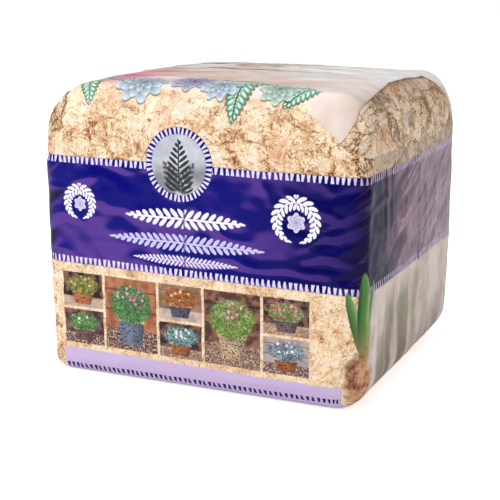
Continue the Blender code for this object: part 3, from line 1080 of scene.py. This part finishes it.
@shared("Color")
def print_garland(colour="Color", flat="Vector", place="Vector", tilt=0.0):
    """Sprigs that hang over the top rim, each with a dark edge, and rosettes laid on them, each over its
    shadow."""
    leaf_light, leaf_dark = ink(150, 214, 186), ink(30, 104, 84)
    for centre, angle, length, leaf in (
            ((-0.0640, 0.1600), -1.30, 0.0200, 0.0056), ((0.0210, 0.1600), -1.62, 0.0245, 0.0062),
            ((0.0560, 0.1590), -2.25, 0.0190, 0.0054), ((-0.0330, 0.1600), 2.85, 0.0280, 0.0058),
            ((0.0060, 0.1610), 0.10, 0.0300, 0.0056)):
        axes = ornament_axes(flat, (*centre, 0.0), angle)
        shadow, _ = leafy_sprig(*axes, 1.03 * length, 1.25 * leaf, 0.52 * leaf, 0.60)
        sprig, shade = leafy_sprig(*axes, length, leaf, 0.52 * leaf, 0.46)
        tone = blend(ramp(shade, 0.10, 0.60), leaf_dark, leaf_light)
        tone = blend(ramp(shade, 0.72, 0.95), tone, ink(232, 250, 240))
        colour = blend(sprig, blend(shadow * 0.80, colour, ink(58, 76, 62)), tone)
    for centre, radius, leaves, light, dark in (
            ((0.0400, 0.1560), 0.0105, 8.0, ink(216, 240, 228), ink(24, 66, 60)),
            ((-0.0080, 0.1630), 0.0120, 8.0, ink(206, 204, 230), ink(56, 28, 70)),
            ((-0.0330, 0.1580), 0.0150, 9.0, ink(222, 238, 248), ink(26, 50, 80)),
            ((0.0100, 0.1570), 0.0110, 9.0, ink(222, 238, 248), ink(26, 50, 80))):
        shadow_centre = (centre[0] + 0.3 * MM, centre[1] - MM, 0.0)
        shadow, _ = leaf_rosette(*ornament_axes(flat, shadow_centre, 0.4), radius, leaves)
        rosette, shade = leaf_rosette(*ornament_axes(flat, (*centre, 0.0), 0.4), radius, leaves)
        colour = blend(shadow * 0.65, colour, ink(58, 50, 50))
        colour = blend(rosette, colour, blend(shade, dark, light))
    return colour


@shared("Color")
def print_vines(colour="Color", flat="Vector", place="Vector", tilt=0.0):
    """White ornaments on the band: rows of vines in the middle, and a wreath with a rosette near each end."""
    white_ink = ink(246, 242, 255)
    for up, length, leaf, row_ink in (
            (0.0885, 0.0330, 0.0050, white_ink), (0.0765, 0.0430, 0.0044, ink(206, 200, 244)),
            (0.0675, 0.0290, 0.0028, PALE_TICK)):
        for angle, start in ((0.0, -0.0046), (math.pi, -0.0054)):
            axes = ornament_axes(flat, (start, up, 0.0), angle)
            vine, _ = leafy_sprig(*axes, length, leaf, 0.82 * leaf, 0.36)
            colour = blend(vine, colour, row_ink)
    for centre, radius, leaf in (((-0.0645, 0.0910), 0.0075, 0.0032), ((0.0530, 0.0920), 0.0095, 0.0038)):
        along, across = ornament_axes(flat, (*centre, 0.0))
        turn = abs(calc("ARCTAN2", along, across) * radius)
        beside = distance(along, across) - radius
        wreath, _ = leafy_sprig(turn, beside, 0.96 * math.pi * radius, leaf, 0.80 * leaf, 0.42)
        colour = blend(wreath, colour, white_ink)
        rosette, shade = leaf_rosette(along, across, 0.50 * radius, 6.0)
        colour = blend(rosette, colour, blend(shade, ink(120, 110, 190), white_ink))
    return colour


@shared("Color")
def print_foot(colour="Color", flat="Vector", place="Vector", tilt=0.0):
    """The pictures, and the lilac strip at the foot with its row of dark ticks."""
    across, up = parts_of(flat)
    picture, inside = plant_pictures(flat)
    front = below(abs(across), STRIP_END, 0.0002)
    strip = between(up, STRIP_BASE - STRIP_DEPTH, STRIP_TOP, 0.0003) * front
    colour = blend(strip, blend(inside, colour, picture), ink(208, 186, 226))
    ticks = stitch_ticks(across + 0.6, up - (STRIP_BASE - STRIP_TICK), reach=STRIP_TICK)
    return blend(ticks * front, colour, ink(20, 10, 86))


# Each zone of the film: its name, the size of its moss strands if it shows moss, and its fields in order
ZONES = [
    ("film_low_zone", 0.85, [print_foot, print_band, print_blades]),
    ("film_band_zone", None, [print_band, print_vines, print_badge, print_blades]),
    ("film_upper_zone", 1.0, [print_top_field, print_band, print_badge]),
    ("film_top_zone", 1.0, [print_top_field, print_garland]),
]
BAND_GROUND = ink(8, 0, 128)


def new_material(name):
    """A material, its shader's inputs, the place on the object and the place on the flat film."""
    material = bpy.data.materials.new(name)
    material.use_nodes = True
    tree = material.node_tree
    place = node("ShaderNodeTexCoord", {}, "Object", tree)
    flat = node("ShaderNodeUVMap", {}, 0, tree, uv_map="film")
    return material, tree.nodes["Principled BSDF"].inputs, place, flat


def film_finish(shader, place, colour, rough_low, rough_high):
    """The look of the clear film over a print, set on the material's own shader: a smooth coat over ink that
    is slightly rough, with fine creases."""
    fine = noise_of(place, 150.0, 3.0, distortion=0.8)
    creases = node("ShaderNodeTexVoronoi", {"Vector": place, "Scale": 60.0}, feature="DISTANCE_TO_EDGE")
    height = line(ramp(creases, 0.0, 0.05), 0.10, fine * 0.5)
    put(shader, {
        "Base Color": colour, "Specular IOR Level": 0.06,
        "Coat Weight": 0.28, "Coat Roughness": 0.12, "Coat IOR": 1.35,
        "Normal": node("ShaderNodeBump", {"Height": height, "Strength": 0.12, "Distance": 0.002}),
        "Roughness": node("ShaderNodeMapRange", {0: fine, 1: 0.3, 2: 0.7, 3: rough_low, 4: rough_high})})


def printed_film(name, strand, fields):
    """The film of one zone: moss of a strand size, or none, and the zone's fields laid on it in order."""
    material, shader, place, flat = new_material(name)
    # The normal's upward tilt, which the band turns into its painted reflection of the floor.
    normal = node("ShaderNodeTexCoord", {}, "Normal", material.node_tree)
    tilt = node("ShaderNodeSeparateXYZ", {0: normal}, "Z")
    colour = BAND_GROUND if strand is None else print_moss(flat, place, strand)
    for field in fields:
        colour = field(colour, flat, place, tilt)
    film_finish(shader, place, colour, 0.32, 0.44)
    return material


# The film bag itself: one piece of thin plastic film round the whole block, printed before it was made into a
# tube. It is a shell, so an inner wall lies just under the outer one.
BAG_STEPS = (146, 98, 122)
WALL_STEPS = (44, 40, 40)
FILM_WALL = 1.2 * MM
ZONE_MARGIN = 1.5 * MM
GARLAND_BASE = 0.1345


def film_shell():
    """The outer net on the block, pushed out along its normals by the film's relief, and a coarser inner net
    that follows the same relief one wall thickness down and faces the other way."""
    cube, faces, flat = cube_skin(BAG_STEPS)
    outer = on_film(cube)
    cube, inner_faces, inner_flat = cube_skin(WALL_STEPS)
    inner = on_film(cube, -FILM_WALL)
    return (np.concatenate([outer, inner]), np.concatenate([faces, inner_faces[:, ::-1] + len(outer)]),
            np.concatenate([flat, inner_flat[:, ::-1]]))


place, faces, flat = film_shell()
film_bag = mesh_object("film_bag_skin", place, faces, flat)
for zone in ZONES:
    film_bag.data.materials.append(printed_film(*zone))
height_on_film = flat[:, :, 1].mean(axis=1)
zone_edges = [BAND_BASE + ZONE_MARGIN, BAND_TOP - ZONE_MARGIN, GARLAND_BASE]
zone_of_face = np.searchsorted(zone_edges, height_on_film)
film_bag.data.polygons.foreach_set("material_index", zone_of_face.astype(np.int32))
film_bag.data.update()
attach(film_bag, "root")
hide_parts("film_bag")


# The folded film that lies on the bag: the ear of each side's gusset, folded up over the top rim at the left
# and the right, and at the back the lap seam of the tube with its two end seals, crimped in fine ribs and
# pressed down flat.
FLAP_REACH = 0.045
FLAP_SINK = 0.5 * MM


def laid_film(name, foot, edge, counts, lift):
    """A closed slab of film on the bag between two lines of the cube. The straight way from foot to edge is
    pushed out to the cube's surface, laid on the block with its relief, and lifted by a function of the
    shares along and across. Its underside runs just below the bag's skin."""
    shares = [np.linspace(0, 1, count + 1) for count in counts]
    along, across = [share.ravel() for share in np.meshgrid(*shares, indexing="ij")]
    ends = []
    for way in (foot, edge):
        way = np.array(way, float)
        steps = np.concatenate([[0], np.cumsum(np.linalg.norm(np.diff(way, axis=0), axis=1))])
        ends.append(np.stack([np.interp(along, steps / steps[-1], column) for column in way.T], 1))
    cube = lerp(ends[0], ends[1], across[:, None])
    cube = cube / np.abs(cube).max(axis=1, keepdims=True)
    top = on_film(cube, lift(along, across))
    bottom = on_film(cube, -FLAP_SINK)
    number = np.arange(len(top)).reshape(counts[0] + 1, counts[1] + 1)
    shift = len(top)
    upper = quads_of(number)
    rim = np.concatenate([number[:, 0], number[-1, 1:], number[-2::-1, -1], number[0, -2:0:-1]])
    after = np.roll(rim, -1)
    walls = np.stack([rim, rim + shift, after + shift, after], 1)
    faces = np.concatenate([upper, upper[:, ::-1] + shift, walls])
    place = np.concatenate([top, bottom])
    turn = np.cross(top[number[1, 0]] - top[0], top[number[0, 1]] - top[0])
    if turn @ block_normals(cube)[0] < 0:
        faces = faces[:, ::-1]
    length = np.linalg.norm(np.diff(soft_block(ends[0][number[:, 0]]), axis=0), axis=1).sum()
    flat = np.stack([np.tile(along, 2) * length, np.tile(across, 2) * FLAP_REACH], 1)
    return mesh_object(name, place, faces, flat[faces])


def side_film():
    """The film of the side panels where it is folded up over the rim: moss made greyer and darker as painted
    shade, a dull brown towards the free edge and the back as painted shade, darker streaks in the folds as
    painted shade, and a dark line at the very edge as a painted shadow."""
    material, shader, place, flat = new_material("side_panel_film")
    moss, _ = dried_moss_look(flat, place, 1.35, 1.30)
    # Painted shade: the moss made greyer and darker by a darker mottle.
    dusk = blend(ramp(mottle_of(place), 0.40, 0.60), ink(104, 80, 58), ink(232, 206, 174))
    colour = blend(0.18, moss, dusk)
    beside, outward = parts_of(flat)
    # Painted shade: a dull brown towards the free edge and the back.
    worn = ramp(outward, 0.40 * FLAP_REACH, 0.90 * FLAP_REACH) * ramp(beside, 0.030, 0.090)
    colour = blend(worn * 0.45, colour, ink(188, 154, 128))
    # Painted shade in the folds: darker streaks, stronger towards the free edge.
    streaks = ramp(noise_of(vector("MULTIPLY", flat, (34.0, 190.0, 1.0)), 1.0, 3.0), 0.50, 0.38)
    streaks = streaks * ramp(outward, 0.10 * FLAP_REACH, 0.70 * FLAP_REACH)
    colour = blend(streaks * 0.50, colour, ink(96, 74, 54))
    # Painted shadow: a dark line at the very edge.
    rim = ramp(outward, 0.955 * FLAP_REACH, 0.985 * FLAP_REACH)
    film_finish(shader, place, blend(rim * 0.55, colour, ink(92, 70, 54)), 0.34, 0.46)
    return material


def ribbed_film():
    """Clear film over a white back, slightly cloudy, for seams and seals."""
    material, shader, place, _ = new_material("seal_film")
    cloudy = ramp(noise_of(place, 120.0, 3.0), 0.3, 0.7)
    film_finish(shader, place, blend(cloudy, ink(216, 212, 216), ink(234, 231, 233)), 0.20, 0.34)
    return material


side_panel_film = side_film()
seal_film = ribbed_film()
EAR_LIFT = 0.9 * MM
EAR_TUCK = 0.15 * MM
EAR_FADE = 0.10
EAR_STEPS = (150, 30)

# The ear's foot and its free edge, as points of the cube
EAR_FOOT = [
    (0.850, -1.0, 0.640), (0.96, -1.0, 0.60), (1.0, -0.90, 0.60), (1.0, 0.40, 0.60), (1.0, 0.84, 0.66),
]
EAR_EDGE = [
    (0.840, -1.0, 0.700), (0.905, -1.0, 0.800), (0.955, -1.0, 0.900), (0.960, -0.93, 1.0),
    (0.865, -0.17, 1.0), (0.885, 0.50, 1.0), (1.0, 0.70, 0.930), (1.0, 0.86, 0.760),
]


def ear_lift(along, across):
    """Flush at its foot and at both ends, and raised over its outer half, most towards the back tip."""
    ends = ease(along / EAR_FADE) * ease((1 - along) / EAR_FADE)
    raised = (0.15 + 0.85 * ease(across / 0.7)) * (0.75 + 0.5 * along)
    return EAR_LIFT * raised * ends - EAR_TUCK * (1 - across)


for name, mirror in (("ear_right", np.ones(3)), ("ear_left", np.array([-1.0, 1.0, 1.0]))):
    ear = laid_film(name, np.array(EAR_FOOT) * mirror, np.array(EAR_EDGE) * mirror, EAR_STEPS, ear_lift)
    ear.data.materials.append(side_panel_film)
    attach(ear, "root")

LAP_HALF_WIDTH = 0.008
SEAL_HEIGHT = 0.012
SEAL_TOP = 0.124
SEAL_BASE = 0.026
SEAL_HALF_LENGTH = 0.070
SEAL_STEPS = (140, 64)
LAP_STEPS = (12, 90)
LAP_WAVE = 0.10 * MM
LAP_WAVES = 40
LAYER_RISE = 0.9 * MM
CRIMP_PITCH = 1.5 * MM
CRIMP_DEPTH = 0.22 * MM


def back_line(half, height):
    """A level line on the back, so long to both sides of its middle, from metres to points of the cube."""
    level = 2 * height / RIM[2] - 1
    return [(-half / RIM[0], 1.0, level), (half / RIM[0], 1.0, level)]


def crimp_lift(along, across):
    """Two layers thick, with level ribs: a cosine across the seal's height."""
    ribs = CRIMP_DEPTH * np.cos(2 * np.pi * across * SEAL_HEIGHT / CRIMP_PITCH)
    return 2 * LAYER_RISE - CRIMP_DEPTH + ribs


def lap_lift(along, across):
    """One layer thick at the free edge, and thinner at the welded one."""
    return LAYER_RISE * lerp(0.35, 1.0, along) + LAP_WAVE * np.sin(LAP_WAVES * across)


for name, half, low, high, steps, lift in (
        ("lap_seam", LAP_HALF_WIDTH, SEAL_BASE - SEAL_HEIGHT / 2, SEAL_TOP - SEAL_HEIGHT / 2, LAP_STEPS,
         lap_lift),
        ("end_seal_top", SEAL_HALF_LENGTH, SEAL_TOP - SEAL_HEIGHT, SEAL_TOP, SEAL_STEPS, crimp_lift),
        ("end_seal_base", SEAL_HALF_LENGTH, SEAL_BASE - SEAL_HEIGHT, SEAL_BASE, SEAL_STEPS, crimp_lift)):
    seal = laid_film(name, back_line(half, low), back_line(half, high), steps, lift)
    seal.data.materials.append(seal_film)
    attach(seal, "root")


# The pressed block of moss inside the bag, which only its own weight and the film hold together: matt,
# straw-coloured strands pressed flat, with small pits between the clumps.
MOSS_STEPS = (90, 80, 80)
MOSS_CLEARANCE = 0.5 * MM
BASE_CLEARANCE = 1.8 * MM
PIT_DEPTH = 1.6 * MM
PITS = [(0.30, 0.012, 30, 21), (0.125, 0.005, 30, 22)]
PITS_MIDDLE = 0.425


def moss_block():
    """The block's net, sunk below the film's inner wall and pitted by waves of three sizes."""
    cube, faces, flat = cube_skin(MOSS_STEPS)
    place = soft_block(cube)
    pits = PITS_MIDDLE + waves(place, PITS) + 0.15 * rolling(place, 0.003, 30, 23) ** 2
    sink = FILM_WALL + MOSS_CLEARANCE + PIT_DEPTH * np.clip(pits, 0, 1)
    place = place + (np.minimum(film_relief(cube), 0) - sink)[:, None] * block_normals(cube)
    place[:, 2] = np.maximum(place[:, 2], BASE_CLEARANCE)
    return place, faces, flat


def matt_moss():
    """Matt moss: the strands' colours, which hold the moss look's painted light and shade, with a bump from
    the height of each strand.
    """
    material, shader, place, flat = new_material("dried_moss")
    colour, height = dried_moss_look(flat, place, 1.1, 1.2)
    put(shader, {
        "Base Color": colour, "Roughness": 0.95, "Specular IOR Level": 0.15,
        "Normal": node("ShaderNodeBump", {"Height": height, "Strength": 0.8, "Distance": 0.001})})
    return material


moss_bale = mesh_object("pressed_moss", *moss_block())
moss_bale.data.materials.append(matt_moss())
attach(moss_bale, "root")
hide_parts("moss_bale")
